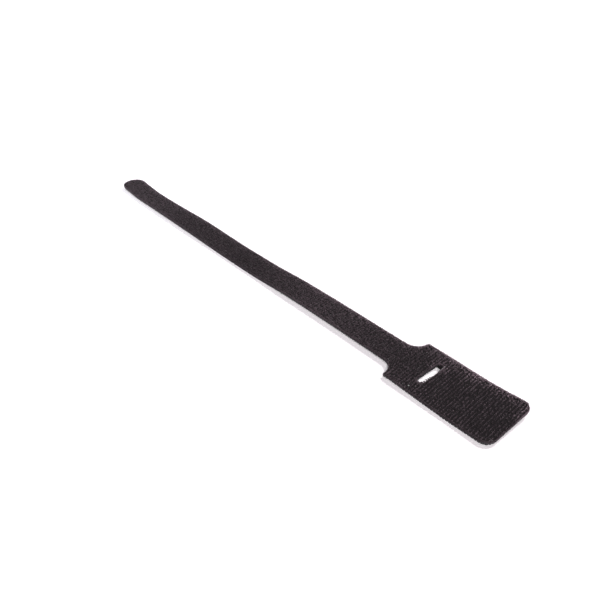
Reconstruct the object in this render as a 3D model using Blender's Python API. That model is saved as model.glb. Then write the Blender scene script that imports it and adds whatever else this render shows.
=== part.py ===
"""A hook and loop cable tie: a narrow strap with a round tip, and a wide head with a slot for the tip.

The tie is die-cut from a laminate of two strips, back to back: a moulded hook strip below and a ribbed
loop fabric above. It lies on a flat surface, nearly flat, in the gentle waves that such a tie keeps from
its packing. Metres, +Z up, +X from the strap's tip towards the head. The origin is under the middle of
the tie, on the surface.
"""

import math

import bmesh
import bpy

# Plan of the die cut
TIE_LENGTH = 0.203
STRAP_WIDTH = 0.0095
HEAD_WIDTH = 0.019
HEAD_LENGTH = 0.034  # from the two horns at the shoulders to the head's square end
CORNER_RADIUS = 0.003
SLOT_WIDTH = 0.0026
SLOT_CLEARANCE = 0.0014  # the slot is this much longer than the strap is wide
SLOT_FROM_END = 0.02575  # from the slot's centre line to the head's end

# Section of the laminate
HOOK_THICKNESS = 0.00055  # backing film and the hooks under it
BOND_LINE = 0.00005  # adhesive between the two strips
LOOP_THICKNESS = 0.0006  # up to the crests of the ribs
RIB_HEIGHT = 0.00016
RIB_PITCH = 0.00092

# How it lies: (share of the length from the tip, value), eased from each point to the next
LIFTS = (  # height of the underside, metres
    (-0.05, 0.0011),
    (0.11, 0.00028),
    (0.29, 0.00045),
    (0.43, 0.0),
    (0.50, 0.0),
    (0.60, 0.0006),
    (0.82, 0.0006),
    (0.93, 0.0002),
    (1.05, 0.0011),
)
SWAYS = (  # sideways shift of the centre line, metres
    (-0.04, 0.001),
    (0.11, -0.00015),
    (0.45, -0.00027),
    (0.68, 0.00026),
    (0.95, -0.0001),
)
LEANS = (  # roll about the centre line, degrees, positive with the +Y edge up
    (0.00, 0.0),
    (0.14, -3.2),
    (0.29, 0.6),
    (0.43, 0.0),
    (0.75, 0.0),
    (0.93, 1.2),
    (1.05, 3.6),
)

# Fineness of the mesh
ARC_STEPS = 10  # steps in each quarter turn of the outline
PLAIN_STEP = 0.0018  # spacing of the cross lines of the strip without ribs
CLOSEST_LINES = 0.00006
NARROW_SHARE = 0.8  # of the width, for the middle band of faces where the tip is narrower than the slot
SHARP_ANGLE = math.radians(40)

# Colours, linear
CHARCOAL = (0.030, 0.031, 0.033)
BROWN_BLACK = (0.042, 0.032, 0.035)

TIP_RADIUS = STRAP_WIDTH / 2
SHOULDER_RADIUS = (HEAD_WIDTH - STRAP_WIDTH) / 2
HORN_X = TIE_LENGTH - HEAD_LENGTH
SLOT_X = TIE_LENGTH - SLOT_FROM_END
SLOT_RADIUS = SLOT_WIDTH / 2
SLOT_HALF_LENGTH = (STRAP_WIDTH + SLOT_CLEARANCE) / 2


def eased(points, share):
    """The value at this share of the length, level at each point and smooth between two of them."""
    for (start, low), (end, high) in zip(points, points[1:]):
        if share <= end:
            t = (share - start) / (end - start)
            return low + (high - low) * t * t * (3 - 2 * t)
    return points[-1][1]


def underside(x, y):
    """Height of the tie's underside above the surface, y being measured from the centre line."""
    share = x / TIE_LENGTH
    return eased(LIFTS, share) + y * math.tan(math.radians(eased(LEANS, share)))


def quarter_arc(radius):
    """Distances along one side of a quarter circle, from 0 to its radius, in equal turns."""
    return [radius * math.sin(math.pi / 2 * i / ARC_STEPS) for i in range(ARC_STEPS + 1)]


def half_width(x):
    """Half of the width at this distance from the tip: round tip, strap, concave shoulders, head, corners."""
    if x < TIP_RADIUS:
        return math.sqrt(TIP_RADIUS**2 - (TIP_RADIUS - x) ** 2)
    past_neck = x - (HORN_X - SHOULDER_RADIUS)
    if past_neck <= 0:
        return STRAP_WIDTH / 2
    if past_neck < SHOULDER_RADIUS:
        return STRAP_WIDTH / 2 + SHOULDER_RADIUS - math.sqrt(SHOULDER_RADIUS**2 - past_neck**2)
    past_side = max(x - (TIE_LENGTH - CORNER_RADIUS), 0)
    return HEAD_WIDTH / 2 - CORNER_RADIUS + math.sqrt(max(CORNER_RADIUS**2 - past_side**2, 0))


def in_slot(x):
    return abs(x - SLOT_X) < SLOT_RADIUS + CLOSEST_LINES / 2


def slot_edge(x):
    """Half of the slot's length on a line across the slot, and the same just before and after it."""
    from_middle = min(abs(x - SLOT_X), SLOT_RADIUS)
    return SLOT_HALF_LENGTH - SLOT_RADIUS + math.sqrt(SLOT_RADIUS**2 - from_middle**2)


def outline_lines():
    """The places along the length where the outline or the slot needs a line across the tie."""
    lines = [TIP_RADIUS - d for d in quarter_arc(TIP_RADIUS)][:-1]
    lines.append(TIP_RADIUS * (1 - math.cos(math.pi / 4 / ARC_STEPS)))
    lines += [HORN_X - SHOULDER_RADIUS + d for d in quarter_arc(SHOULDER_RADIUS)]
    lines += [TIE_LENGTH - CORNER_RADIUS + d for d in quarter_arc(CORNER_RADIUS)]
    for side in (-1, 1):
        lines += [SLOT_X + side * d for d in quarter_arc(SLOT_RADIUS)]
    return sorted(lines)


def cross_lines(filling):
    """The outline's own lines, and between them as many of the filling lines as keep clear of them."""
    lines = []
    for x in outline_lines():
        if not lines or x - lines[-1] > CLOSEST_LINES:
            lines.append(x)
    spare = [x for x in filling if lines[0] < x < lines[-1]]
    spare = [x for x in spare if min(abs(x - line) for line in lines) > CLOSEST_LINES]
    return sorted(lines + spare)


def rib_lines():
    """A line on each crest and in each valley of the ribs."""
    halves = 2 * round(TIE_LENGTH / RIB_PITCH)
    return [TIE_LENGTH * i / halves for i in range(1, halves)]


def plain_lines():
    count = round(TIE_LENGTH / PLAIN_STEP)
    return [TIE_LENGTH * i / count for i in range(1, count)]


def rib(x):
    """Height of the ribbed face below its crests, as a negative number."""
    turns = x * round(TIE_LENGTH / RIB_PITCH) / TIE_LENGTH
    return -RIB_HEIGHT * abs(2 * (turns % 1) - 1)


def plan_of(bm, lines):
    """The flat plan of the tie as three bands of faces, the middle one left out over the slot."""
    rows = []
    for x in lines:
        edge = half_width(x)
        inner = min(slot_edge(x), NARROW_SHARE * edge)
        rows.append([bm.verts.new((x, y, 0)) for y in (-edge, -inner, inner, edge)])
    for i, (x, after) in enumerate(zip(lines, lines[1:])):
        for band in range(3):
            if band == 1 and in_slot(x) and in_slot(after):
                continue
            corners = (rows[i][band], rows[i + 1][band], rows[i + 1][band + 1], rows[i][band + 1])
            bm.faces.new(corners)


def die_cut_strip(name, bottom, top, lines, relief, material):
    """One strip of the laminate: the plan, made solid between two heights, and laid in the tie's waves."""
    bm = bmesh.new()
    plan_of(bm, lines)
    raised = bmesh.ops.extrude_face_region(bm, geom=bm.faces[:])["geom"]
    upper = {item for item in raised if isinstance(item, bmesh.types.BMVert)}
    for vert in bm.verts:
        x, y = vert.co.x, vert.co.y
        height = top + relief(x) if vert in upper else bottom
        sway = eased(SWAYS, x / TIE_LENGTH)
        vert.co = (x - TIE_LENGTH / 2, y + sway, underside(x, y) + height)
    bmesh.ops.recalc_face_normals(bm, faces=bm.faces[:])
    mesh = bpy.data.meshes.new(name)
    bm.to_mesh(mesh)
    bm.free()
    mesh.shade_smooth()
    mesh.set_sharp_from_angle(angle=SHARP_ANGLE)
    mesh.materials.append(material)
    strip = bpy.data.objects.new(name, mesh)
    bpy.context.scene.collection.objects.link(strip)
    return strip


def finish(name, colour, roughness):
    material = bpy.data.materials.new(name)
    material.use_nodes = True
    shader = material.node_tree.nodes["Principled BSDF"]
    shader.inputs["Base Color"].default_value = (*colour, 1)
    shader.inputs["Roughness"].default_value = roughness
    shader.inputs["Metallic"].default_value = 0
    material.diffuse_color = (*colour, 1)
    return material


def build_hook_strip():
    """The moulded hook strip, with its hooks as one flat layer: they stand too close to tell apart."""
    plastic = finish("hook_plastic", CHARCOAL, 0.55)
    lines = cross_lines(plain_lines())
    return die_cut_strip("hook_strip", 0, HOOK_THICKNESS, lines, lambda x: 0, plastic)


def build_loop_strip():
    """The brushed loop fabric, with its ribs running across the tie."""
    fabric = finish("loop_fabric", BROWN_BLACK, 0.95)
    bottom = HOOK_THICKNESS + BOND_LINE
    lines = cross_lines(rib_lines())
    return die_cut_strip("loop_strip", bottom, bottom + LOOP_THICKNESS, lines, rib, fabric)


def main():
    for obj in list(bpy.data.objects):
        bpy.data.objects.remove(obj)
    tie = bpy.data.objects.new("cable_tie", None)
    bpy.context.scene.collection.objects.link(tie)
    for strip in (build_hook_strip(), build_loop_strip()):
        strip.parent = tie


main()
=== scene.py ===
"""The looks of the hook and loop cable tie: brushed loop fabric over a moulded hook strip, on a white table.

Metres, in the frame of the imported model: the tie lies along X, with its head at +X, on the plane Z = 0.
The plan of the tie is meant wherever x and y are named: along the tie, and across it from its centre line.
The near side is the one towards the camera, where y is below zero.
"""

import math

import bpy
import numpy as np
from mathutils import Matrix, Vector


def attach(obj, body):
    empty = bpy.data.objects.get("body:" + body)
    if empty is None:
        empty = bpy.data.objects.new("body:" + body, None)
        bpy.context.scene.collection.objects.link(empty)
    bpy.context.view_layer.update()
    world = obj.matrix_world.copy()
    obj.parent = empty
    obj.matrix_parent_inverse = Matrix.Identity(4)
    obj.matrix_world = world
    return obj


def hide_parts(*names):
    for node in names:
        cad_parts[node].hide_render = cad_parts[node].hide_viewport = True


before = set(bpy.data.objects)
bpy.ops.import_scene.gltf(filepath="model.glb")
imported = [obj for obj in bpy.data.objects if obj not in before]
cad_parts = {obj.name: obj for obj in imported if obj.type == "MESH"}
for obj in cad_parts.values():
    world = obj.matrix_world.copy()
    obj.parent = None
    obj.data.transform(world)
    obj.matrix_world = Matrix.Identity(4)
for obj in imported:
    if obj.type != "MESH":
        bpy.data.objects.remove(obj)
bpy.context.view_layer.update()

MM = 0.001
SEEDS = {"pile": 7, "fibres": 8, "slot": 9, "rim": 10, "mottle": 11, "ribs": 12}

# The camera, as fitted to the outline of the tie in the photograph
CAMERA_AT = Vector((146.2, -106.7, 107.7)) * MM
CAMERA_LOOKS_AT = Vector((23.3, -2.0, 0.0)) * MM
CAMERA_FOCUS = 589 / 600  # focal length over the picture's width
SENSOR_WIDTH = 36  # in millimetres, as Blender has it
CAMERA_RANGE = (0.005, 20)  # in metres

# The die cut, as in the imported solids
TIE_LENGTH = 203.0 * MM
STRAP_WIDTH = 9.5 * MM
HEAD_WIDTH = 19.0 * MM
HEAD_LENGTH = 34.0 * MM
CORNER_RADIUS = 3.0 * MM
SLOT_WIDTH = 2.6 * MM
SLOT_LENGTH = 10.9 * MM
SLOT_FROM_END = 25.75 * MM

TIP_X = -TIE_LENGTH / 2
END_X = TIE_LENGTH / 2
TIP_RADIUS = STRAP_WIDTH / 2
SHOULDER_RADIUS = (HEAD_WIDTH - STRAP_WIDTH) / 2
HORN_X = END_X - HEAD_LENGTH
SLOT_X = END_X - SLOT_FROM_END
SLOT_RADIUS = SLOT_WIDTH / 2
SLOT_STRAIGHT = SLOT_LENGTH / 2 - SLOT_RADIUS  # from its middle to the centre of each round end
BESIDE_SLOT = 6 * MM  # further from the centre line than the slot and the strap reach

# Heights above the underside: hooks, film, knitted ground, pile
FILM_BOTTOM = 0.24 * MM
FILM_TOP = 0.55 * MM
FABRIC_BOTTOM = 0.56 * MM
GROUND_VALLEY = 0.72 * MM
GROUND_CREST = 0.90 * MM
RIB_PITCH = 0.93 * MM
RIB_SKEW = 0.066  # the knit runs this much off square: a shift along the tie for each step across it
RIB_WANDER = 0.012  # in ribs
RIB_WANDER_SIZE = (2.4 * MM, 6 * MM)
RIBS = round(TIE_LENGTH / RIB_PITCH)

# The tip of the near horn, which the die has pressed flat and drawn out towards the strap
HORN_TIP = (HORN_X, -HEAD_WIDTH / 2, 0.9 * MM, 1.1 * MM)  # x, y, and reach along and across
HORN_DRAWN = 0.38 * MM
HORN_SUNK = 0.12 * MM
HORN_PILE_LOST = 0.8  # share of the loops' rise
HORN_RIM_LOST = 0.75

# Fineness of the film and the ground
LINES_PER_RIB = 4
FILM_COLUMNS = (2, 1)  # in the middle, as wide as the slot is long, and at each side
GROUND_COLUMNS = (24, 5)
NARROW_SHARE = 0.8  # of the width, for the middle columns where the tip is narrower than the slot
ARC_STEPS = 12
LINE_GAP = 0.01 * MM  # the least, between two lines of the outline
FILLING_GAP = 0.05 * MM  # the least, from the even filling to those lines
TIP_HALF_WIDTH = 0.01 * MM  # of the very first line
SHARP_ANGLE = math.radians(35)
WAVES = 14  # in each set of soft patches

# The pile: tufts of loops along the ribs. Each pair holds a value for the strap, where use has ruffled the
# pile, and one for the head, where the ribs are clear.
CHANGE_OVER = (HORN_X - 6 * MM, HORN_X + 12 * MM)  # where the first value goes over into the second
TUFT_PITCH = (0.66 * MM, 0.42 * MM)
TUFT_JITTER = (0.20 * MM, 0.23 * MM)
TUFTS_MISSING = (0.03, 0.11)
TUFT_SPREAD = (0.17 * MM, 0.13 * MM)  # of a tuft's loops, across the tie
ROW_SPREAD = (0.24 * MM, 0.100 * MM)  # of a tuft's loops, along the tie
LOOP_SLANT = (math.radians(45), math.radians(6))  # off the rib, to one side and the other by turns
HEADING_SPREAD = (0.7, 0.18)  # in radians
LOOP_SPAN = (0.64 * MM, 0.28 * MM)
LOOP_LEAN = (0.12 * MM, 0.04 * MM)
TUFT_SHADES = (0.26, 0.38)  # how much lighter or darker one tuft is than another
LOOP_SHADES = (0.42, 0.90)  # and one loop than another
RIB_SHADE = (0.06, 0.42)  # how much lighter the crests are than the valleys: painted shade in the valleys
BRUSHED_REACH = (1.6 * MM, 2.6 * MM)  # of the pile that is brushed up along the far edge
BRUSHED_LIGHT_AND_SHEEN = (0.86, 2.9)  # how much lighter it is at that edge: the brushed pile's own lightness, with painted sheen and glare on the far side
BRUSHED_SPREAD = (0, 0.16 * MM)  # added to the row spread there

# The pile as a whole
BRUSHED_ROWS = 0.6  # how much of the rib shade is lost where the pile is brushed up
RIB_BREAKS = 0.20  # how much the rib shade changes from patch to patch
TAIL_RUFFLED = (1.7, 1.0)  # times the tufts' own shade, at the tip and at the shoulders
TUFTS_PAST_EDGE = 0.2 * MM
LOOPS_IN_TUFT = 4
LOOP_RISE = 0.36 * MM
LOOP_BULGE = 0.35  # how much a loop's sides stand out past its feet
LOOP_FULLNESS = 0.7  # how square the loops' arches are: less is squarer
LOOP_RADIUS = 0.060 * MM
LOOP_POINTS = 5
LOOP_SIDES = 3
LOOP_OVERHANG = 0.16 * MM
SPAN_RANGE = (0.75, 1.3)  # each loop's own span is the one above times a number from here, and so on
RISE_RANGE = (0.65, 1.15)
OVERHANG_RANGE = (0.1, 1.0)
RADIUS_RANGE = (0.75, 1.2)
ROOT_DEPTH = 0.05 * MM
DROOP = 0.7  # how steeply a loop droops past the cut edge
DROOP_FROM = 0.05 * MM  # inside the edge
FOOT_INSIDE = 0.06 * MM  # the feet of the loops keep this far inside the cut
STRAY_FEET = 0.22 * MM  # feet that fall further off the tie are left out
PILE_PIECES = ("tail", "middle", "neck", "head")
PILE_STATIONS = (TIP_X - MM, -20 * MM, 48 * MM, 80 * MM, END_X + MM)

# How light the pile is: its own tone, with painted sheen
LIGHTNESS_ALONG_TIE = (  # share of the length from the tip, and how light the pile is there; its lightness towards the tail is painted sheen of the grazing view
    (0, 0.07, 0.14, 0.27, 0.41, 0.455, 0.57, 0.655, 0.77, 0.83, 1),
    (0.97, 0.88, 0.98, 0.71, 0.64, 0.56, 0.83, 1.21, 0.84, 0.70, 0.66),
)
MOTTLE = 0.06  # how much lighter or darker it is in soft patches
MOTTLE_SIZE = (1.5 * MM, 5 * MM)
EDGE_PAINTED_SHEEN = 0.22  # how much lighter it is at the cut edges: painted sheen of the pile at grazing angles
EDGE_REACH = 1.2 * MM
SHOULDER_PATCH = (71 * MM, -7.5 * MM, 5 * MM, 2.2 * MM)  # x, y, and reach along and across
SHOULDER_LIGHT = 0.45
RUBBED_PATCH = (84.6 * MM, 7.3 * MM, 2.6 * MM, 2.8 * MM)
RUBBED_LIGHT = 0.9

# The rim: four rows of loops along the cut edges, each a little further over the edge than the one before
RIM_SPACING = 0.26 * MM
RIM_ROWS = (0.25, 0.50, 0.75, 1.0)  # shares of the overhang
# painted shade: each row darker than the one inside it
RIM_ROW_PAINTED_SHADES = (1.0, 0.92, 0.84, 0.76)
RIM_RISE = 0.60 * MM
RIM_SPAN = 0.8 * LOOP_SPAN[0]
RIM_JITTER = 0.06 * MM
RIM_INSIDE = 0.04 * MM  # from the cut edge to the feet
RIM_HEADING_SPREAD = 0.15
RIM_FULLNESS = 0.35
RIM_INSIDE_RANGE = (0.2, 3.0)
RIM_SPAN_RANGE = (0.95, 1.3)
RIM_RISE_RANGE = (0.88, 1.04)
RIM_PUSH_RANGE = (0.94, 1.06)
RIM_RADIUS_RANGE = (0.75, 1.1)
RIM_SHADE_RANGE = (0.85, 1.15)
QUARTER_POINTS = 16  # in each quarter turn of the outer edge
SLOT_END_POINTS = 24  # in each round end of the slot

# How far the rim's loops reach over the edge, in millimetres: places along the tie, and the reach at each
NEAR_OVERHANG = ((70, 82), (0.14, 0.22))
FAR_OVERHANG = (
    (-70, -58, -44, -14, 0, 20, 55, 75, 95),
    (0.28, 0.24, 0.42, 0.38, 0.44, 0.32, 0.30, 0.46, 0.28),
)
END_OVERHANG = 0.12  # at the head's end
END_ZONE = 1.2 * MM
SLOT_OVERHANG = 0.12
SLOT_ZONE = 0.6 * MM
FRAYED_OVERHANG = 0.45  # added at the slot's near end
FRAYED_FROM = 3.8  # from the centre line
FRAYED_OVER = 1.2  # from where it starts to where it is full

# Loose fibres over the pile
FIBRES = 3000
FIBRE_TRIES = 12 * FIBRES
FIBRE_SHARES = ((0, 0.3, 1), (0.5, 0.3, 0.12))  # share of the length, and of the tries that stay there
RIM_FIBRES = 0.4  # more of them at the rim
RIM_FIBRE_REACH = 0.4 * MM
FIBRE_LENGTH = 1.3 * MM
FIBRE_CURL = 1.1  # in radians
FIBRE_RADIUS = 0.013 * MM
FIBRE_POINTS = 5
FIBRE_SIDES = 3
FIBRE_HEIGHT = 1.10 * MM
FIBRE_RISE = 0.12 * MM
FIBRE_OVERHANG = 0.30 * MM
FIBRE_INSIDE = 0.02 * MM  # they start at least this far inside the cut edge
FIBRE_DROOP = 0.8
FIBRE_TAPER = 0.5
FIBRE_LENGTH_RANGE = (0.4, 1.0)
FIBRE_RISE_RANGE = (0.3, 1.5)

# The moulded hooks
HOOK_PITCH_ALONG = 0.92 * MM
HOOK_PITCH_ACROSS = 0.66 * MM
HOOK_THICKNESS = 0.17 * MM
HOOK_PROFILE = (  # along the tie and down from the film, in millimetres: stem, crook and tip
    (-0.20, 0.00), (-0.11, 0.12), (-0.06, 0.21), (0.06, 0.24), (0.20, 0.21), (0.26, 0.12),
    (0.20, 0.11), (0.14, 0.15), (0.06, 0.13), (0.13, 0.00),
)
HOOKS_CLEAR = 0.42 * MM  # from the field's hooks to the cut edge
HOOK_RIM_SPACING = 0.48 * MM
# How far off the tie the rim's hooks may stand, in millimetres, below zero inside the cut
RIM_HOOKS = -0.14
STRAP_SIDE_HOOKS = 0.10  # at the slot
HORN_HOOKS = 0.45  # added at the near horn's tip
NEAR_EDGE_HOOKS = ((80, 86, 92, 100, 101), (RIM_HOOKS, -0.08, 0.15, 0.15, RIM_HOOKS))  # places along first

# Strands of cut ends at the slot, in millimetres
STRAND_RADIUS = 0.06
STRAND_POINTS = 6
STRAND_SIDES = 5
STRAND_TAPER = 0.6
FRAYED_SHADE = 0.8
# Teeth on the slot's head side: y, and reach
TEETH = ((-4.3, 0.75), (-3.45, 0.68), (-2.6, 0.72), (-1.9, 0.55), (-1.1, 0.55), (-0.4, 0.30))
TEETH_SPREAD = 0.10
FRINGE = (1.0, 3.6, 0.35)  # past the teeth: from, to and spacing
FRINGE_SPREAD = 0.16
FRINGE_REACH = (0.05, 0.25)  # where it starts, and gained for each millimetre from there
STRANDS_IN_TOOTH = 11
TOOTH_DRIFT = 0.10
TOOTH_ROOT = (0.15, 1.05)  # past the edge, and height
TOOTH_BEND = (0.3, 0.4, 1.15)  # shares of the reach and the drift, and height
TOOTH_REACH_RANGE = (0.7, 1.1)
TOOTH_TIP_HEIGHTS = (0.85, 1.05)
ROUND_END_SHARE = 0.6  # how fast the teeth's roots turn in at the slot's round end
# Tufts at the slot's near end
END_TUFTS = (-1.15, -0.9, -0.6, -0.3, 0.0, 0.3, 0.6, 0.9, 1.15)  # from the slot's middle line
STRANDS_IN_END_TUFT = 9
END_SPREADS = (0.08, 0.10, 0.15)  # at root, bend and tip
END_HEIGHTS = (1.05, 1.20, 1.10)
END_ROOT = -0.3
END_BEND = 0.4
END_REACH_RANGE = (0.5, 0.95)
PALE_THREADS = (  # the places that each passes through, its radius and its number of points
    (((76.75, 2.7, 1.15), (76.80, 3.6, 1.25), (76.75, 4.6, 1.30), (76.55, 5.6, 1.24)), 0.12, 14),
    (((76.85, 2.3, 1.1), (76.72, 3.3, 1.2), (76.8, 4.3, 1.22)), 0.07, 10),
)

# The dark tab at the slot's far end: painted shade for the shaded far end of the slot
TAB_INSET = 0.08 * MM  # from the slot's sides
TAB_ROOT = 0.2 * MM  # inside the slot's end
TAB_REACH = 0.72 * MM
TAB_SKEW = 0.12 * MM  # how much further it reaches on its head side
TAB_NARROWS = 0.12  # share of its width that it loses on its way out
TAB_DROP = 0.30 * MM
TAB_CURVE = 1.5
TAB_THICKNESS = 0.15 * MM
TAB_POINTS = (6, 7)  # along it and across it

# The speck of lint, in millimetres: its middle, and its bits as places from there
LINT_AT = (75.1, -8.1, 1.2)
LINT_BITS = (
    ((-0.30, 0.05, 0.02), (0.0, 0.12, 0.12), (0.22, -0.10, 0.03)),
    ((-0.12, -0.20, 0.03), (0.08, 0.0, 0.14), (0.02, 0.24, 0.02)),
    ((0.10, 0.18, 0.04), (0.16, -0.06, 0.12), (-0.14, -0.12, 0.05)),
)
LINT_RADIUS = 0.05
LINT_POINTS = 9

# The table and the room
TABLE_COLOUR = (0.90, 0.825, 0.865)
TABLE_GLOW = 0.22  # to the camera only, so that it looks white
TABLE_REACH = 4.0
ROOM_LIGHT = 0.06  # on the tie, while the camera sees the room as white
SUNS = {  # the share of white that each gives the table, then elevation, bearing and width in degrees
    "key": (0.48, 50, 90, 10),
    "front": (0.50, 46, -40, 20),
}
TAIL_LAMP_AT = Vector((-0.13, -0.02, 0.12))
TAIL_LAMP_TOWARDS = Vector((-0.12, 0, 0))
TAIL_LAMP_SIZE = 0.10
TAIL_LAMP_POWER = 0.06
TAIL_LAMP_COLOUR = (0.78, 0.95, 1.0)

SHEEN_ROUGHNESS = 0.5


def half_width(x):
    """Half of the die cut's width at x: round tip, strap, concave shoulders, head with round corners."""
    x = np.clip(np.asarray(x, float), TIP_X, END_X)
    tip = np.minimum(x - TIP_X - TIP_RADIUS, 0)
    half = np.sqrt(np.maximum(TIP_RADIUS**2 - tip**2, 0))
    neck = np.clip(x - (HORN_X - SHOULDER_RADIUS), 0, SHOULDER_RADIUS)
    half = half + SHOULDER_RADIUS - np.sqrt(SHOULDER_RADIUS**2 - neck**2)
    corner = np.maximum(x - (END_X - CORNER_RADIUS), 0)
    return half - CORNER_RADIUS + np.sqrt(np.maximum(CORNER_RADIUS**2 - corner**2, 0))


def slot_edge(x):
    """Half of the slot's length at x, and the same just before and after the slot."""
    from_middle = np.minimum(abs(x - SLOT_X), SLOT_RADIUS)
    return SLOT_STRAIGHT + np.sqrt(SLOT_RADIUS**2 - from_middle**2)


def beyond(x, y):
    """Distance of a place in the plan from the nearest cut edge: positive off the tie, negative on it."""
    y = abs(y)
    strap = np.hypot(np.minimum(x - TIP_X - TIP_RADIUS, 0), y) - TIP_RADIUS
    past_x, past_y = x - (END_X - CORNER_RADIUS), y - (HEAD_WIDTH / 2 - CORNER_RADIUS)
    box = np.hypot(np.maximum(past_x, 0), np.maximum(past_y, 0)) - CORNER_RADIUS
    box += np.minimum(np.maximum(past_x, past_y), 0)
    shoulder = SHOULDER_RADIUS - np.hypot(x - (HORN_X - SHOULDER_RADIUS), y - HEAD_WIDTH / 2)
    head = np.where(x > HORN_X - SHOULDER_RADIUS, np.maximum(box, shoulder), np.inf)
    outer = np.minimum(np.where(x < SLOT_X, strap, np.inf), head)
    in_slot = SLOT_RADIUS - np.hypot(x - SLOT_X, np.maximum(y - SLOT_STRAIGHT, 0))
    return np.maximum(outer, in_slot)


def pull_in(plan, limit):
    """Moves the places that lie further off the tie than the limit back to it, the short way."""
    step = 0.01 * MM
    rounds = 2
    for _ in range(rounds):
        x, y = plan[..., 0], plan[..., 1]
        too_far = np.maximum(beyond(x, y) - limit, 0)
        slope_x = (beyond(x + step, y) - beyond(x - step, y)) / (2 * step)
        slope_y = (beyond(x, y + step) - beyond(x, y - step)) / (2 * step)
        plan = plan - np.stack([slope_x * too_far, slope_y * too_far], -1)
    return plan


def read_lie(node):
    """How a strip lies, from its mesh's whole sections: x, middle, and the underside's height and slope."""
    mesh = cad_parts[node].data
    points = np.empty(3 * len(mesh.vertices), np.float32)
    mesh.vertices.foreach_get("co", points)
    points = points.reshape(-1, 3).astype(float)
    same, whole, narrowest = 0.002 * MM, 0.02 * MM, 2 * MM
    rows = []
    for x in np.unique(points[:, 0].round(6)):
        ring = points[abs(points[:, 0] - x) < same]
        right, left = ring[:, 1].min(), ring[:, 1].max()
        half = (left - right) / 2
        if half < narrowest or abs(half - half_width(x)) > whole:
            continue
        low_right = ring[ring[:, 1] < right + same, 2].min()
        low_left = ring[ring[:, 1] > left - same, 2].min()
        rows.append((x, (left + right) / 2, (low_left + low_right) / 2, (low_left - low_right) / (2 * half)))
    return np.array(rows).T


LIE_X, LIE_MIDDLE, LIE_HEIGHT, LIE_SLOPE = read_lie("hook_strip")


def place(x, y, height):
    """A point of the lying tie, from its place in the plan and its height above the underside."""
    x = x - HORN_DRAWN * pressed(x, y)
    lift = np.interp(x, LIE_X, LIE_HEIGHT) + y * np.interp(x, LIE_X, LIE_SLOPE)
    return np.stack(np.broadcast_arrays(x, y + np.interp(x, LIE_X, LIE_MIDDLE), lift + height), -1)


def soft_waves(x, y, seed, shortest, longest):
    """Soft random patches in the plan, with values between about -1 and 1."""
    random = np.random.default_rng(seed)
    total = 0
    for _ in range(WAVES):
        length, bearing = random.uniform(shortest, longest), random.uniform(0, math.pi)
        start = random.uniform(0, 2 * math.pi)
        forward = x * math.cos(bearing) + y * math.sin(bearing)
        total = total + np.cos(2 * math.pi * forward / length + start)
    return total / math.sqrt(WAVES)


def rib_shift(x, y):
    """How far the ribs wander off their even rows, in ribs."""
    wander = soft_waves(x, y, SEEDS["ribs"], *RIB_WANDER_SIZE)
    return RIB_SKEW * y / TIE_LENGTH * RIBS + RIB_WANDER * wander


def rib_turns(x, y):
    """The place along the tie counted in ribs, a whole number in each valley."""
    return (x - TIP_X) / TIE_LENGTH * RIBS + rib_shift(x, y)


def patch(x, y, spot):
    """A soft patch in the plan, 1 in its middle: spot holds its x and y, and its reach along and across."""
    at_x, at_y, reach_along, reach_across = spot
    return np.exp(-(((x - at_x) / reach_along) ** 2) - ((y - at_y) / reach_across) ** 2)


def pressed(x, y):
    """How strongly the die has pressed the fabric down at the tip of the near horn, from 0 to 1."""
    return patch(x, y, HORN_TIP)


def ground_height(x, y):
    """Height of the knitted ground, which is ribbed across the tie."""
    height = GROUND_VALLEY + (GROUND_CREST - GROUND_VALLEY) * np.sin(np.pi * rib_turns(x, y)) ** 2
    return height - HORN_SUNK * pressed(x, y)


def on_head(x, values):
    """The value for this place along the tie, from the one for the strap and the one for the head."""
    return np.interp(x, CHANGE_OVER, values)


def new_piece(name, points, faces, material, node, shade=None):
    """A mesh that rides on the tie and stands for one of its nodes. Shade tints its points."""
    mesh = bpy.data.meshes.new(name)
    mesh.from_pydata(points.tolist(), [], faces)
    mesh.validate()
    mesh.shade_smooth()
    mesh.materials.append(material)
    if shade is not None:
        tint = mesh.attributes.new("shade", "FLOAT", "POINT")
        tint.data.foreach_set("value", shade.astype(np.float32))
    piece = bpy.data.objects.new(name, mesh)
    bpy.context.scene.collection.objects.link(piece)
    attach(piece, "root")
    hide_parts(node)
    return piece


def plan_lines(per_rib):
    """Lines across the tie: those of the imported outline, the slot's, and an even filling."""
    count = RIBS * per_rib
    turn = np.sin(np.linspace(0, math.pi / 2, ARC_STEPS + 1))
    rim = np.concatenate(
        [
            TIP_X + TIP_RADIUS * (1 - turn),
            HORN_X - SHOULDER_RADIUS * (1 - turn),
            END_X - CORNER_RADIUS * (1 - turn),
            SLOT_X - SLOT_RADIUS * turn,
            SLOT_X + SLOT_RADIUS * turn,
        ]
    )
    rim = np.unique(rim.round(8))
    rim = rim[np.append(True, np.diff(rim) > LINE_GAP)]
    even = TIP_X + TIE_LENGTH * np.arange(1, count) / count
    gap = abs(even[:, None] - rim[None, :]).min(axis=1)
    return np.sort(np.concatenate([rim, even[gap > FILLING_GAP]]))


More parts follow.
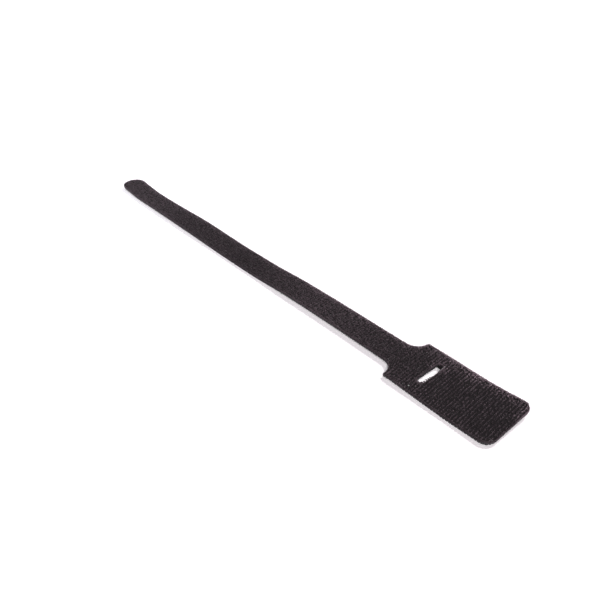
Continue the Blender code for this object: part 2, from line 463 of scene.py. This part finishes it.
def strip_solid(lines, columns, side_columns, top, bottom):
    """A closed strip with the tie's plan: fine top, walls round the rim and the slot, and plain bottom."""
    edge = np.maximum(half_width(lines), TIP_HALF_WIDTH)
    inner = np.minimum(slot_edge(lines), NARROW_SHARE * edge)
    side = np.linspace(0, 1, side_columns + 1)
    middle = np.linspace(-1, 1, columns + 1)
    across = np.concatenate(
        [
            -edge[:, None] + (edge - inner)[:, None] * side[None, :-1],
            inner[:, None] * middle[None, :],
            inner[:, None] + (edge - inner)[:, None] * side[None, 1:],
        ],
        axis=1,
    )
    along = np.repeat(lines[:, None], across.shape[1], axis=1)
    upper = place(along, across, top(along, across))
    width = across.shape[1]
    kept = [0, side_columns, side_columns + columns, width - 1]
    bands = range(len(kept) - 1)
    lower = place(along[:, kept], across[:, kept], bottom)
    points = np.concatenate([upper.reshape(-1, 3), lower.reshape(-1, 3)])
    first_low = len(lines) * width

    def up(i, j):
        return i * width + j

    def low(i, k):
        return first_low + i * len(kept) + k

    open_line = abs(lines - SLOT_X) < SLOT_RADIUS + LINE_GAP / 2
    faces = []
    for i in range(len(lines) - 1):
        hole = open_line[i] and open_line[i + 1]
        for j in range(width - 1):
            if not (hole and kept[1] <= j < kept[2]):
                faces.append((up(i, j), up(i + 1, j), up(i + 1, j + 1), up(i, j + 1)))
        for k in bands:
            if not (hole and k == 1):
                faces.append((low(i, k), low(i, k + 1), low(i + 1, k + 1), low(i + 1, k)))
        faces.append((up(i, 0), low(i, 0), low(i + 1, 0), up(i + 1, 0)))
        faces.append((up(i, width - 1), up(i + 1, width - 1), low(i + 1, 3), low(i, 3)))
        if hole:
            faces.append((up(i, kept[1]), up(i + 1, kept[1]), low(i + 1, 1), low(i, 1)))
            faces.append((up(i, kept[2]), low(i, 2), low(i + 1, 2), up(i + 1, kept[2])))

    def end_wall(i, walled, out):
        for k in walled:
            ring = [up(i, j) for j in range(kept[k], kept[k + 1] + 1)] + [low(i, k + 1), low(i, k)]
            faces.append(tuple(ring if out else ring[::-1]))

    end_wall(0, bands, False)
    end_wall(len(lines) - 1, bands, True)
    opened = np.flatnonzero(open_line)
    end_wall(opened[0], [1], True)
    end_wall(opened[-1], [1], False)
    return points, faces


def tubes(paths, radii, sides):
    """Closed thin tubes along many paths at once: paths is (tubes, points, 3) and radii (tubes, points)."""
    count, steps, _ = paths.shape
    ahead = np.gradient(paths, axis=1)
    ahead /= np.linalg.norm(ahead, axis=2, keepdims=True) + 1e-12
    chord = paths[:, -1] - paths[:, 0]
    flank = np.cross(chord, (0, 0, 1.0))
    flank /= np.linalg.norm(flank, axis=1, keepdims=True) + 1e-12
    flank = np.repeat(flank[:, None, :], steps, axis=1)
    flank -= ahead * (flank * ahead).sum(2, keepdims=True)
    flank /= np.linalg.norm(flank, axis=2, keepdims=True) + 1e-12
    rise = np.cross(ahead, flank)
    turn = 2 * np.pi * np.arange(sides) / sides
    ring = flank[:, :, None] * np.cos(turn)[:, None] + rise[:, :, None] * np.sin(turn)[:, None]
    points = paths[:, :, None] + ring * radii[:, :, None, None]
    base = (np.arange(count) * steps * sides)[:, None]
    faces = []
    for s in range(steps - 1):
        for a in range(sides):
            b = (a + 1) % sides
            corner = np.array([s * sides + a, s * sides + b, (s + 1) * sides + b, (s + 1) * sides + a])
            faces.append(base + corner)
    walls = np.concatenate(faces).tolist()
    front = (base + np.arange(sides)[::-1]).tolist()
    back = (base + (steps - 1) * sides + np.arange(sides)).tolist()
    return points.reshape(-1, 3), walls + front + back


def principled(name, roughness, sheen=0.0, sheen_tint=(1, 1, 1), specular=0.5):
    """A plain finish, with its nodes and links, and the shader for its colour to go to."""
    material = bpy.data.materials.new(name)
    material.use_nodes = True
    nodes, links = material.node_tree.nodes, material.node_tree.links
    shader = nodes["Principled BSDF"]
    shader.inputs["Roughness"].default_value = roughness
    shader.inputs["Sheen Weight"].default_value = sheen
    shader.inputs["Sheen Roughness"].default_value = SHEEN_ROUGHNESS
    shader.inputs["Sheen Tint"].default_value = (*sheen_tint, 1)
    shader.inputs["Specular IOR Level"].default_value = specular
    return material, nodes, links, shader


def noise(nodes, links, scale, detail):
    """Noise in the tie's own frame, with scale in features a millimetre."""
    coordinates = nodes.new("ShaderNodeTexCoord")
    mapping = nodes.new("ShaderNodeMapping")
    mapping.inputs["Scale"].default_value = (1 / MM, 1 / MM, 1 / MM)
    texture = nodes.new("ShaderNodeTexNoise")
    texture.inputs["Scale"].default_value = scale
    texture.inputs["Detail"].default_value = detail
    links.new(coordinates.outputs["Object"], mapping.inputs["Vector"])
    links.new(mapping.outputs["Vector"], texture.inputs["Vector"])
    return texture.outputs["Fac"]


def ramp(nodes, links, value, dark, light):
    """The colour between two, each given with the value at which it starts."""
    node = nodes.new("ShaderNodeValToRGB")
    for element, (position, colour) in zip(node.color_ramp.elements, (dark, light)):
        element.position, element.color = position, (*colour, 1)
    links.new(value, node.inputs["Fac"])
    return node.outputs["Color"]


def tinted(nodes, links, colour):
    """The colour times the points' shade."""
    shade = nodes.new("ShaderNodeAttribute")
    shade.attribute_name = "shade"
    product = nodes.new("ShaderNodeVectorMath")
    product.operation = "SCALE"
    links.new(colour, product.inputs[0])
    links.new(shade.outputs["Fac"], product.inputs["Scale"])
    return product.outputs["Vector"]


def speckled(name, scale, detail, dark, light, shaded=False, **gloss):
    """A material whose linear colour goes between two in fine noise. The points' shade may tint it."""
    material, nodes, links, shader = principled(name, **gloss)
    colour = ramp(nodes, links, noise(nodes, links, scale, detail), dark, light)
    if shaded:
        colour = tinted(nodes, links, colour)
    links.new(colour, shader.inputs["Base Color"])
    return material


def pile_material():
    dark, light = (0.32, (0.050, 0.0360, 0.0424)), (0.68, (0.093, 0.0692, 0.0806))
    gloss = {"roughness": 0.85, "sheen": 0.10, "sheen_tint": (1, 0.85, 0.92), "specular": 0.15}
    return speckled("pile", 1.3, 3, dark, light, shaded=True, **gloss)


# The knitted ground is coloured far darker than the pile: painted shade for the depth between the loops and
# in the rib valleys.
def ground_painted_shade_material():
    dark, light = (0.3, (0.008, 0.006, 0.007)), (0.7, (0.018, 0.0135, 0.0155))
    return speckled("ground", 4, 2, dark, light, roughness=0.95, sheen=0.05, specular=0.15)


def fibre_material():
    dark, light = (0.3, (0.09, 0.068, 0.078)), (0.7, (0.19, 0.155, 0.173))
    return speckled("fibre", 0.5, 2, dark, light, roughness=0.6, sheen=0.3, specular=0.4)


def lint_material():
    dark, light = (0.3, (0.30, 0.31, 0.30)), (0.7, (0.46, 0.46, 0.45))
    return speckled("lint", 2, 2, dark, light, roughness=0.7, sheen=0.2, specular=0.3)


def hook_material():
    dark, light = (0.3, (0.026, 0.027, 0.029)), (0.7, (0.034, 0.035, 0.037))
    return speckled("hook_plastic", 0.4, 3, dark, light, roughness=0.42)


def build_film(material):
    """The film that carries the hooks."""
    lines = plan_lines(1)
    points, faces = strip_solid(lines, *FILM_COLUMNS, lambda x, y: FILM_TOP + 0 * x, FILM_BOTTOM)
    piece = new_piece("hook_film", points, faces, material, "hook_strip")
    piece.data.set_sharp_from_angle(angle=SHARP_ANGLE)


def build_hooks(name, material, places):
    """Moulded hooks under the film, at places given as x, y and bearing."""
    profile = np.array(HOOK_PROFILE) * MM
    corners = len(profile)
    x, y, bearing = places[:, :1], places[:, 1:2], places[:, 2:]
    height = np.repeat(FILM_BOTTOM - profile[None, :, 1], len(places), axis=0)
    sides = []
    for side in (-HOOK_THICKNESS / 2, HOOK_THICKNESS / 2):
        along = x + profile[:, 0] * np.cos(bearing) - side * np.sin(bearing)
        across = y + profile[:, 0] * np.sin(bearing) + side * np.cos(bearing)
        sides.append(place(along, across, height))
    points = np.stack(sides, 1).reshape(-1, 3)
    base = (np.arange(len(places)) * 2 * corners)[:, None]
    ring = np.arange(corners)
    after = (ring + 1) % corners
    walls = np.stack([ring, after, after + corners, ring + corners], 1)
    faces = (base[:, :, None] + walls[None]).reshape(-1, 4).tolist()
    faces += (base + ring[::-1]).tolist()
    faces += (base + ring + corners).tolist()
    piece = new_piece(name, points, faces, material, "hook_strip")
    piece.data.set_sharp_from_angle(angle=SHARP_ANGLE)


def hook_field():
    """Rows of hooks across the tie, facing one way and the other by turns, clear of the cut edges."""
    rows = round(TIE_LENGTH / HOOK_PITCH_ALONG)
    columns = round(HEAD_WIDTH / HOOK_PITCH_ACROSS)
    row, column = np.meshgrid(np.arange(rows), np.arange(columns), indexing="ij")
    x = TIP_X + TIE_LENGTH * (row + 0.5) / rows
    y = HEAD_WIDTH * ((column + 0.5) / columns - 0.5)
    places = np.stack([x, y, math.pi * ((row + column) % 2)], -1).reshape(-1, 3)
    return places[beyond(places[:, 0], places[:, 1]) < -HOOKS_CLEAR]


def hook_rim():
    """Hooks close together along the cut edges, a little over them where the die has pressed them out."""
    places = cut_edges(HOOK_RIM_SPACING)
    x, y = places[:, 0], places[:, 1]
    at_strap_side = (abs(x - SLOT_X) < SLOT_RADIUS) & (x < SLOT_X) & (abs(y) < BESIDE_SLOT)
    limit = np.where(y < -BESIDE_SLOT, np.interp(x / MM, *NEAR_EDGE_HOOKS), RIM_HOOKS)
    limit = np.where(at_strap_side, STRAP_SIDE_HOOKS, limit) + HORN_HOOKS * pressed(x, y)
    places[:, :2] = pull_in(places[:, :2], limit * MM)
    places[1::2, 2] += math.pi
    return places


def build_ground(material):
    """The knitted ground of the loop fabric, which the pile stands on."""
    lines = plan_lines(LINES_PER_RIB)
    points, faces = strip_solid(lines, *GROUND_COLUMNS, ground_height, FABRIC_BOTTOM)
    piece = new_piece("loop_fabric", points, faces, material, "loop_strip")
    piece.data.set_sharp_from_angle(angle=SHARP_ANGLE)
    return piece


def tuft_places():
    """Where the tufts stand: along the ribs, up to the rim."""
    places = []
    for rib in range(-1, RIBS + 1):
        x = TIP_X + TIE_LENGTH * (rib + 0.5) / RIBS
        reach = float(half_width(x)) + TUFTS_PAST_EDGE
        count = max(round(2 * reach / float(on_head(x, TUFT_PITCH))), 1)
        y = np.linspace(-reach, reach, count + 1)
        x = x - rib_shift(x, y) * TIE_LENGTH / RIBS
        places.append(np.stack([x, y, np.full(len(y), 1.0 - 2 * (rib % 2))], 1))
    return np.concatenate(places)


def mottle(x, y):
    return soft_waves(x, y, SEEDS["mottle"], *MOTTLE_SIZE)


def brushed(x, y):
    """How strongly the pile is brushed up towards the far cut edge, from 0 to 1."""
    from_rim = np.clip(-beyond(x, y), 0, None)
    far_side = np.clip(y / half_width(x), 0, 1)
    return far_side * np.exp(-((from_rim / on_head(x, BRUSHED_REACH)) ** 2))


def pile_tone_and_painted_sheen(x, y):
    """How light the pile is at a place in the plan, against its usual shade: its own tone in soft patches,
    by the near shoulder and at a rubbed spot, with painted sheen along the tie and at the cut edges.
    """
    # painted sheen along the tie: lighter towards the tail
    light = np.interp((x - TIP_X) / TIE_LENGTH, *LIGHTNESS_ALONG_TIE)
    light = light * (1 + MOTTLE * mottle(x, y))
    from_rim = np.clip(-beyond(x, y), 0, None)
    # painted sheen along the cut edges
    light = light * (1 + EDGE_PAINTED_SHEEN * np.exp(-from_rim / EDGE_REACH))
    # the brushed pile's own lightness at the far edge, and painted sheen and glare there
    light = light * (1 + on_head(x, BRUSHED_LIGHT_AND_SHEEN) * brushed(x, y))
    light = light * (1 + SHOULDER_LIGHT * patch(x, y, SHOULDER_PATCH))
    return light + RUBBED_LIGHT * patch(x, y, RUBBED_PATCH)


def rib_painted_shade(x, y):
    """How light the pile is for its place on the rib: painted shade, dark in the valleys, though less so
    where brushed.
    """
    clear = on_head(x, RIB_SHADE) * (1 + RIB_BREAKS * mottle(x, y)) * (1 - BRUSHED_ROWS * brushed(x, y))
    return 1 - clear * np.cos(2 * math.pi * rib_turns(x, y))


def pile_tufts(random):
    """The pile's tufts, as x, y and the side that their loops slant to, and the shade of each."""
    tufts = tuft_places()
    tufts = tufts[random.uniform(0, 1, len(tufts)) > on_head(tufts[:, 0], TUFTS_MISSING)]
    x = tufts[:, 0]
    tufts[:, 1] += random.uniform(-1, 1, len(tufts)) * on_head(x, TUFT_JITTER)
    unevenness = on_head(x, TUFT_SHADES) * np.interp(x, (TIP_X, HORN_X), TAIL_RUFFLED)
    return tufts, 1 + unevenness * random.uniform(-1, 1, len(tufts))


def pile_feet(random):
    """The middle of each loop's feet in the plan, the side that it slants to, and the shade of its tuft."""
    tufts, shade = pile_tufts(random)
    tufts, shade = np.repeat(tufts, LOOPS_IN_TUFT, axis=0), np.repeat(shade, LOOPS_IN_TUFT)
    x, y, slant = tufts.T
    row_spread = on_head(x, ROW_SPREAD) + on_head(x, BRUSHED_SPREAD) * brushed(x, y)
    feet = tufts[:, :2].copy()
    feet[:, 0] += random.normal(0, 1, len(tufts)) * row_spread
    feet[:, 1] += random.normal(0, 1, len(tufts)) * on_head(x, TUFT_SPREAD)
    kept = beyond(feet[:, 0], feet[:, 1]) < STRAY_FEET
    return pull_in(feet[kept], -FOOT_INSIDE), slant[kept], shade[kept]


def directions(bearing):
    """Unit steps in the plan along each bearing, and square to it."""
    cos, sin = np.cos(bearing), np.sin(bearing)
    return np.stack([cos, sin], 1), np.stack([-sin, cos], 1)


def build_pile(material):
    """The pile of loops, in pieces along the tie."""
    random = np.random.default_rng(SEEDS["pile"])
    feet, slant, tuft_shade = pile_feet(random)
    x, y = feet.T
    count = len(feet)
    heading = math.pi / 2 + slant * on_head(x, LOOP_SLANT)
    heading += random.normal(0, 1, count) * on_head(x, HEADING_SPREAD)
    span = on_head(x, LOOP_SPAN) * random.uniform(*SPAN_RANGE, count)
    flat = 1 - HORN_PILE_LOST * pressed(x, y)
    rise = LOOP_RISE * random.uniform(*RISE_RANGE, count) * flat
    lean = random.normal(0, 1, count) * on_head(x, LOOP_LEAN)
    t = np.linspace(0, 1, LOOP_POINTS)
    out = (t - 0.5) * (1 + LOOP_BULGE * np.sin(math.pi * t))
    arch = np.sin(math.pi * t) ** LOOP_FULLNESS
    along, beside = directions(heading)
    plan = feet[:, None] + along[:, None] * (span[:, None] * out)[:, :, None]
    plan += beside[:, None] * (lean[:, None] * arch)[:, :, None]
    plan = pull_in(plan, LOOP_OVERHANG * random.uniform(*OVERHANG_RANGE, (count, 1)) * flat[:, None])
    plan_x, plan_y = plan[..., 0], plan[..., 1]
    droop = DROOP * np.maximum(beyond(plan_x, plan_y) + DROOP_FROM, 0)
    height = ground_height(plan_x, plan_y) - ROOT_DEPTH + rise[:, None] * arch - droop
    paths = place(plan_x, plan_y, height)
    radii = LOOP_RADIUS * random.uniform(*RADIUS_RANGE, (count, 1)) * np.ones(LOOP_POINTS)
    # painted sheen and light along the tie, painted shade in the rib valleys, and the tufts' own tone
    shade = pile_tone_and_painted_sheen(x, y) * rib_painted_shade(x, y) * tuft_shade
    shade *= 1 + on_head(x, LOOP_SHADES) * random.uniform(-1, 1, count)
    pieces = []
    for name, start, stop in zip(PILE_PIECES, PILE_STATIONS, PILE_STATIONS[1:]):
        chosen = (x >= start) & (x < stop)
        points, faces = tubes(paths[chosen], radii[chosen], LOOP_SIDES)
        tint = np.repeat(shade[chosen], LOOP_POINTS * LOOP_SIDES)
        pieces.append(new_piece("loop_pile_" + name, points, faces, material, "loop_strip", tint))
    return pieces


def overhang(x, y):
    """How far the outermost loops reach over the edge: most on the far side and at the slot's near end."""
    near, far = np.interp(x / MM, *NEAR_OVERHANG), np.interp(x / MM, *FAR_OVERHANG)
    at_slot = (abs(x - SLOT_X) < SLOT_RADIUS + SLOT_ZONE) & (abs(y) < SLOT_LENGTH / 2 + SLOT_ZONE)
    frayed = SLOT_OVERHANG + FRAYED_OVERHANG * np.clip((-y / MM - FRAYED_FROM) / FRAYED_OVER, 0, 1)
    outer = np.where(x > END_X - END_ZONE, END_OVERHANG, np.where(y > 0, far, near))
    return MM * np.where(at_slot, frayed, outer * (1 - pressed(x, y)))


def cut_edges(spacing):
    """Places evenly along the outer cut edge and round the slot, with the bearing of the edge at each."""
    quarter = np.linspace(0, math.pi / 2, QUARTER_POINTS)
    ahead, aside = np.sin(quarter), np.cos(quarter)
    neck_x, neck_y = HORN_X - SHOULDER_RADIUS, HEAD_WIDTH / 2
    end_x, end_y = END_X - CORNER_RADIUS, HEAD_WIDTH / 2 - CORNER_RADIUS
    tip = np.stack([TIP_X + TIP_RADIUS * (1 - aside), TIP_RADIUS * ahead], 1)
    neck = np.stack([neck_x + SHOULDER_RADIUS * ahead, neck_y - SHOULDER_RADIUS * aside], 1)
    corner = np.stack([end_x + CORNER_RADIUS * ahead, end_y + CORNER_RADIUS * aside], 1)
    left = np.concatenate([tip, neck, corner])
    outer = np.concatenate([left, left[::-1] * (1, -1)])
    turn = np.linspace(0, math.pi, SLOT_END_POINTS)
    bend = np.stack([SLOT_X + SLOT_RADIUS * np.cos(turn), SLOT_RADIUS * np.sin(turn)], 1)
    bend[:, 1] += SLOT_STRAIGHT
    slot = np.concatenate([bend, -bend + (2 * SLOT_X, 0)])
    places = []
    for ring in (outer, slot):
        ring = np.concatenate([ring, ring[:1]])
        run = np.append(0, np.cumsum(np.linalg.norm(np.diff(ring, axis=0), axis=1)))
        at = np.arange(0, run[-1], spacing)
        x, y = np.interp(at, run, ring[:, 0]), np.interp(at, run, ring[:, 1])
        bearing = np.arctan2(np.gradient(y), np.gradient(x))
        places.append(np.stack([x, y, bearing], 1))
    return np.concatenate(places)


def build_rim(material):
    """Rows of loops along the cut edges, full height, each row a little further over the edge."""
    random = np.random.default_rng(SEEDS["rim"])
    rows = len(RIM_ROWS)
    edge = np.repeat(cut_edges(RIM_SPACING), rows, axis=0)
    count = len(edge)
    feet = edge[:, :2] + random.normal(0, RIM_JITTER, (count, 2))
    feet = pull_in(feet, -RIM_INSIDE * random.uniform(*RIM_INSIDE_RANGE, count))
    x, y = feet.T
    heading = edge[:, 2] + random.normal(0, RIM_HEADING_SPREAD, count)
    span = RIM_SPAN * random.uniform(*RIM_SPAN_RANGE, count)
    rise = RIM_RISE * random.uniform(*RIM_RISE_RANGE, count)
    rise *= 1 - HORN_RIM_LOST * pressed(x, y)
    pushed = overhang(x, y) * np.tile(RIM_ROWS, count // rows) * random.uniform(*RIM_PUSH_RANGE, count)
    t = np.linspace(0, 1, LOOP_POINTS)
    along, _ = directions(heading)
    _, outward = directions(edge[:, 2])
    plan = feet[:, None] + along[:, None] * (span[:, None] * (t - 0.5))[:, :, None]
    plan += outward[:, None] * pushed[:, None, None]
    plan = pull_in(plan, overhang(plan[..., 0], plan[..., 1]))
    height = GROUND_VALLEY - 2 * ROOT_DEPTH + rise[:, None] * np.sin(math.pi * t) ** RIM_FULLNESS
    paths = place(plan[..., 0], plan[..., 1], height)
    radii = LOOP_RADIUS * random.uniform(*RIM_RADIUS_RANGE, (count, 1)) * np.ones(LOOP_POINTS)
    points, faces = tubes(paths, radii, LOOP_SIDES)
    # the outer rows darkened by painted shade
    shade = pile_tone_and_painted_sheen(x, y) * np.tile(RIM_ROW_PAINTED_SHADES, count // rows) * random.uniform(*RIM_SHADE_RANGE, count)
    tint = np.repeat(shade, LOOP_POINTS * LOOP_SIDES)
    return new_piece("loop_pile_rim", points, faces, material, "loop_strip", tint)


def build_fibres(material):
    """Loose fibres, brushed out of the loops: thin over the whole pile, and more of them at the rim."""
    random = np.random.default_rng(SEEDS["fibres"])
    x = random.uniform(TIP_X, END_X, FIBRE_TRIES)
    y = random.uniform(-0.5, 0.5, FIBRE_TRIES) * HEAD_WIDTH
    from_rim = -beyond(x, y)
    wanted = np.interp((x - TIP_X) / TIE_LENGTH, *FIBRE_SHARES)
    wanted = wanted + RIM_FIBRES * np.exp(-from_rim / RIM_FIBRE_REACH)
    chosen = (from_rim > FIBRE_INSIDE) & (random.uniform(0, 1, FIBRE_TRIES) < wanted)
    feet = np.stack([x, y], 1)[chosen][:FIBRES]
    count = len(feet)
    heading = random.uniform(0, 2 * math.pi, count)
    curl = random.normal(0, FIBRE_CURL, count)
    length = FIBRE_LENGTH * random.uniform(*FIBRE_LENGTH_RANGE, count)
    t = np.linspace(0, 1, FIBRE_POINTS)
    turned = heading[:, None] + curl[:, None] * t
    step = length[:, None] / (FIBRE_POINTS - 1)
    steps = np.stack([np.cos(turned), np.sin(turned)], -1) * step[..., None]
    plan = feet[:, None] + np.cumsum(steps, axis=1)
    plan = pull_in(plan, FIBRE_OVERHANG * random.uniform(*OVERHANG_RANGE, (count, 1)))
    droop = FIBRE_DROOP * np.maximum(beyond(plan[..., 0], plan[..., 1]), 0)
    rise = FIBRE_RISE * random.uniform(*FIBRE_RISE_RANGE, (count, 1)) * np.sin(math.pi * t)
    paths = place(plan[..., 0], plan[..., 1], FIBRE_HEIGHT + rise - droop)
    radii = FIBRE_RADIUS * (1 - FIBRE_TAPER * t) * np.ones((count, 1))
    points, faces = tubes(paths, radii, FIBRE_SIDES)
    return new_piece("loose_fibres", points, faces, material, "loop_strip")


def strand(places, radius, count):
    """A smooth thread with this many points through a few places. Places and radius are in millimetres."""
    knots = np.array(places, float) * MM
    t = np.linspace(0, len(knots) - 1, count)
    i = np.clip(t.astype(int), 0, len(knots) - 2)
    f = (t - i)[:, None]
    before, after = knots[np.maximum(i - 1, 0)], knots[np.minimum(i + 2, len(knots) - 1)]
    a, b = knots[i], knots[i + 1]
    path = 2 * a + (b - before) * f
    path += (2 * before - 5 * a + 4 * b - after) * f**2
    path += (3 * a - before - 3 * b + after) * f**3
    path *= 0.5
    taper = radius * MM * (1 - STRAND_TAPER * abs(2 * np.linspace(0, 1, count) - 1) ** 3)
    return tubes(place(path[:, 0], path[:, 1], path[:, 2])[None], taper[None], STRAND_SIDES)


def joined(parts):
    """Several meshes as one: their points, and their faces renumbered."""
    points, faces, first = [], [], 0
    for part_points, part_faces in parts:
        points.append(part_points)
        faces += [tuple(first + corner for corner in face) for face in part_faces]
        first += len(part_points)
    return np.concatenate(points), faces


def slot_teeth(random):
    """Frayed teeth of fabric on the slot's head side, and a short fringe beside them."""
    strands = []
    teeth = [(y, reach, TEETH_SPREAD) for y, reach in TEETH]
    least, gain = FRINGE_REACH
    teeth += [(y, least + gain * (y - FRINGE[0]), FRINGE_SPREAD) for y in np.arange(*FRINGE)]
    for y, reach, spread in teeth:
        turned_in = ROUND_END_SHARE * max(abs(y) - SLOT_STRAIGHT / MM, 0)
        root = (SLOT_X + SLOT_RADIUS) / MM - turned_in
        for _ in range(STRANDS_IN_TOOTH):
            foot, drift = y + random.normal(0, spread), random.normal(0, TOOTH_DRIFT)
            length = reach * random.uniform(*TOOTH_REACH_RANGE)
            bend = (root - TOOTH_BEND[0] * reach, foot + TOOTH_BEND[1] * drift, TOOTH_BEND[2])
            tip = (root - length, foot + drift, random.uniform(*TOOTH_TIP_HEIGHTS))
            knots = ((root + TOOTH_ROOT[0], foot, TOOTH_ROOT[1]), bend, tip)
            strands.append(strand(knots, STRAND_RADIUS, STRAND_POINTS))
    return strands


def slot_end_tufts(random):
    """Frayed tufts round the slot's near end."""
    strands = []
    for x in END_TUFTS:
        root = -slot_edge(SLOT_X + x * MM) / MM
        for _ in range(STRANDS_IN_END_TUFT):
            along = [SLOT_X / MM + x + random.normal(0, spread) for spread in END_SPREADS]
            across = (root + END_ROOT, root + END_BEND, root + random.uniform(*END_REACH_RANGE))
            strands.append(strand(list(zip(along, across, END_HEIGHTS)), STRAND_RADIUS, STRAND_POINTS))
    return strands


def build_slot_threads(dark, pale):
    """Cut ends at the slot: dark tufts on its head side and near end, and a pale thread at its far end."""
    random = np.random.default_rng(SEEDS["slot"])
    points, faces = joined(slot_teeth(random) + slot_end_tufts(random))
    shade = np.full(len(points), FRAYED_SHADE)
    frayed = new_piece("slot_tufts", points, faces, dark, "loop_strip", shade)
    points, faces = joined([strand(*thread) for thread in PALE_THREADS])
    thread = new_piece("slot_thread", points, faces, pale, "loop_strip")
    return frayed, thread


def build_slot_shade_tab(material):
    """A dark tab of the fabric's ground at the slot's far end, bent down into the opening: painted shade,
    dark where the slot's far end lies in shade.
    """
    rows, columns = TAB_POINTS
    out = np.linspace(0, 1, rows)[:, None]
    along = np.linspace(-1, 1, columns)[None, :]
    x = SLOT_X + along * (SLOT_RADIUS - TAB_INSET) * (1 - TAB_NARROWS * out)
    y = SLOT_LENGTH / 2 - TAB_ROOT - out * (TAB_REACH + TAB_SKEW * along)
    top = FILM_TOP - TAB_DROP * out**TAB_CURVE + 0 * x
    upper, lower = place(x, y, top), place(x, y, top - TAB_THICKNESS)
    points = np.concatenate([upper.reshape(-1, 3), lower.reshape(-1, 3)])
    under = rows * columns
    faces = []
    for i in range(rows - 1):
        for j in range(columns - 1):
            a = i * columns + j
            quad = (a, a + columns, a + columns + 1, a + 1)
            faces += [quad, tuple(under + corner for corner in quad[::-1])]
    rim = list(range(columns)) + [i * columns + columns - 1 for i in range(1, rows)]
    rim += [(rows - 1) * columns + j for j in range(columns - 2, -1, -1)]
    rim += [i * columns for i in range(rows - 2, 0, -1)]
    for a, b in zip(rim, rim[1:] + rim[:1]):
        faces.append((a, b, under + b, under + a))
    return new_piece("slot_shade_tab", points, faces, material, "loop_strip")


def build_lint(material):
    """A speck of pale lint on the head, near the slot."""
    bits = []
    for bit in LINT_BITS:
        bits.append(strand(np.array(LINT_AT) + np.array(bit), LINT_RADIUS, LINT_POINTS))
    points, faces = joined(bits)
    return new_piece("lint", points, faces, material, "loop_strip")


def table_material():
    """Matt, a little warm in what it throws back, and lifted to white for the camera."""
    material = bpy.data.materials.new("white_table")
    material.use_nodes = True
    nodes, links = material.node_tree.nodes, material.node_tree.links
    nodes.clear()
    diffuse = nodes.new("ShaderNodeBsdfDiffuse")
    diffuse.inputs["Color"].default_value = (*TABLE_COLOUR, 1)
    glow = nodes.new("ShaderNodeEmission")
    rays = nodes.new("ShaderNodeLightPath")
    seen = nodes.new("ShaderNodeMath")
    seen.operation = "MULTIPLY"
    seen.inputs[1].default_value = TABLE_GLOW
    both = nodes.new("ShaderNodeAddShader")
    output = nodes.new("ShaderNodeOutputMaterial")
    links.new(rays.outputs["Is Camera Ray"], seen.inputs[0])
    links.new(seen.outputs[0], glow.inputs["Strength"])
    links.new(diffuse.outputs[0], both.inputs[0])
    links.new(glow.outputs[0], both.inputs[1])
    links.new(both.outputs[0], output.inputs["Surface"])
    return material


def build_floor():
    mesh = bpy.data.meshes.new("table")
    size = TABLE_REACH
    corners = [(-size, -size, 0), (size, -size, 0), (size, size, 0), (-size, size, 0)]
    mesh.from_pydata(corners, [], [(0, 1, 2, 3)])
    mesh.materials.append(table_material())
    floor = bpy.data.objects.new("table", mesh)
    bpy.context.scene.collection.objects.link(floor)


def aim(lamp, at, towards):
    """Puts the lamp in the scene at one place, turned towards another."""
    lamp.location = at
    lamp.rotation_mode = "QUATERNION"
    lamp.rotation_quaternion = (at - towards).to_track_quat("Z", "Y")
    bpy.context.scene.collection.objects.link(lamp)


def soft_sun(name, share, elevation, bearing, width):
    """A distant lamp that lights the table by this share of white. Its angles are in degrees."""
    elevation, bearing = math.radians(elevation), math.radians(bearing)
    sun = bpy.data.lights.new(name, "SUN")
    sun.energy = share * math.pi / math.sin(elevation)
    sun.angle = math.radians(width)
    level = math.cos(elevation)
    at = Vector((math.cos(bearing) * level, math.sin(bearing) * level, math.sin(elevation)))
    aim(bpy.data.objects.new(name, sun), at, Vector((0, 0, 0)))


def build_lights():
    """A room that looks white, a key from behind, a broad light in front and a cool lamp over the tail."""
    world = bpy.data.worlds.new("soft_white")
    bpy.context.scene.world = world
    world.use_nodes = True
    background = world.node_tree.nodes["Background"]
    background.inputs["Color"].default_value = (1, 1, 1, 1)
    rays = world.node_tree.nodes.new("ShaderNodeLightPath")
    level = world.node_tree.nodes.new("ShaderNodeMath")
    level.operation = "MAXIMUM"
    level.inputs[1].default_value = ROOM_LIGHT
    world.node_tree.links.new(rays.outputs["Is Camera Ray"], level.inputs[0])
    world.node_tree.links.new(level.outputs[0], background.inputs["Strength"])
    for name, values in SUNS.items():
        soft_sun(name, *values)
    fill = bpy.data.lights.new("tail_fill", "AREA")
    fill.shape = "DISK"
    fill.size = TAIL_LAMP_SIZE
    fill.energy = TAIL_LAMP_POWER
    fill.color = TAIL_LAMP_COLOUR
    aim(bpy.data.objects.new("tail_fill", fill), TAIL_LAMP_AT, TAIL_LAMP_TOWARDS)


def build_camera():
    lens = bpy.data.cameras.new("camera")
    lens.sensor_width = SENSOR_WIDTH
    lens.lens = SENSOR_WIDTH * CAMERA_FOCUS
    lens.clip_start, lens.clip_end = CAMERA_RANGE
    camera = bpy.data.objects.new("camera", lens)
    camera.location = CAMERA_AT
    camera.rotation_mode = "QUATERNION"
    camera.rotation_quaternion = (CAMERA_LOOKS_AT - CAMERA_AT).to_track_quat("-Z", "Y")
    bpy.context.scene.collection.objects.link(camera)
    bpy.context.scene.camera = camera


def main():
    bpy.context.scene.view_settings.view_transform = "Standard"
    build_camera()
    build_lights()
    build_floor()
    plastic = hook_material()
    build_film(plastic)
    build_hooks("hook_field", plastic, hook_field())
    build_hooks("hook_rim", plastic, hook_rim())
    ground = ground_painted_shade_material()
    fabric = build_ground(ground)
    pile, fibre, lint = pile_material(), fibre_material(), lint_material()
    on_it = build_pile(pile)
    on_it.append(build_rim(pile))
    on_it.append(build_fibres(fibre))
    on_it.append(build_slot_shade_tab(ground))
    on_it += build_slot_threads(pile, fibre)
    on_it.append(build_lint(lint))


main()
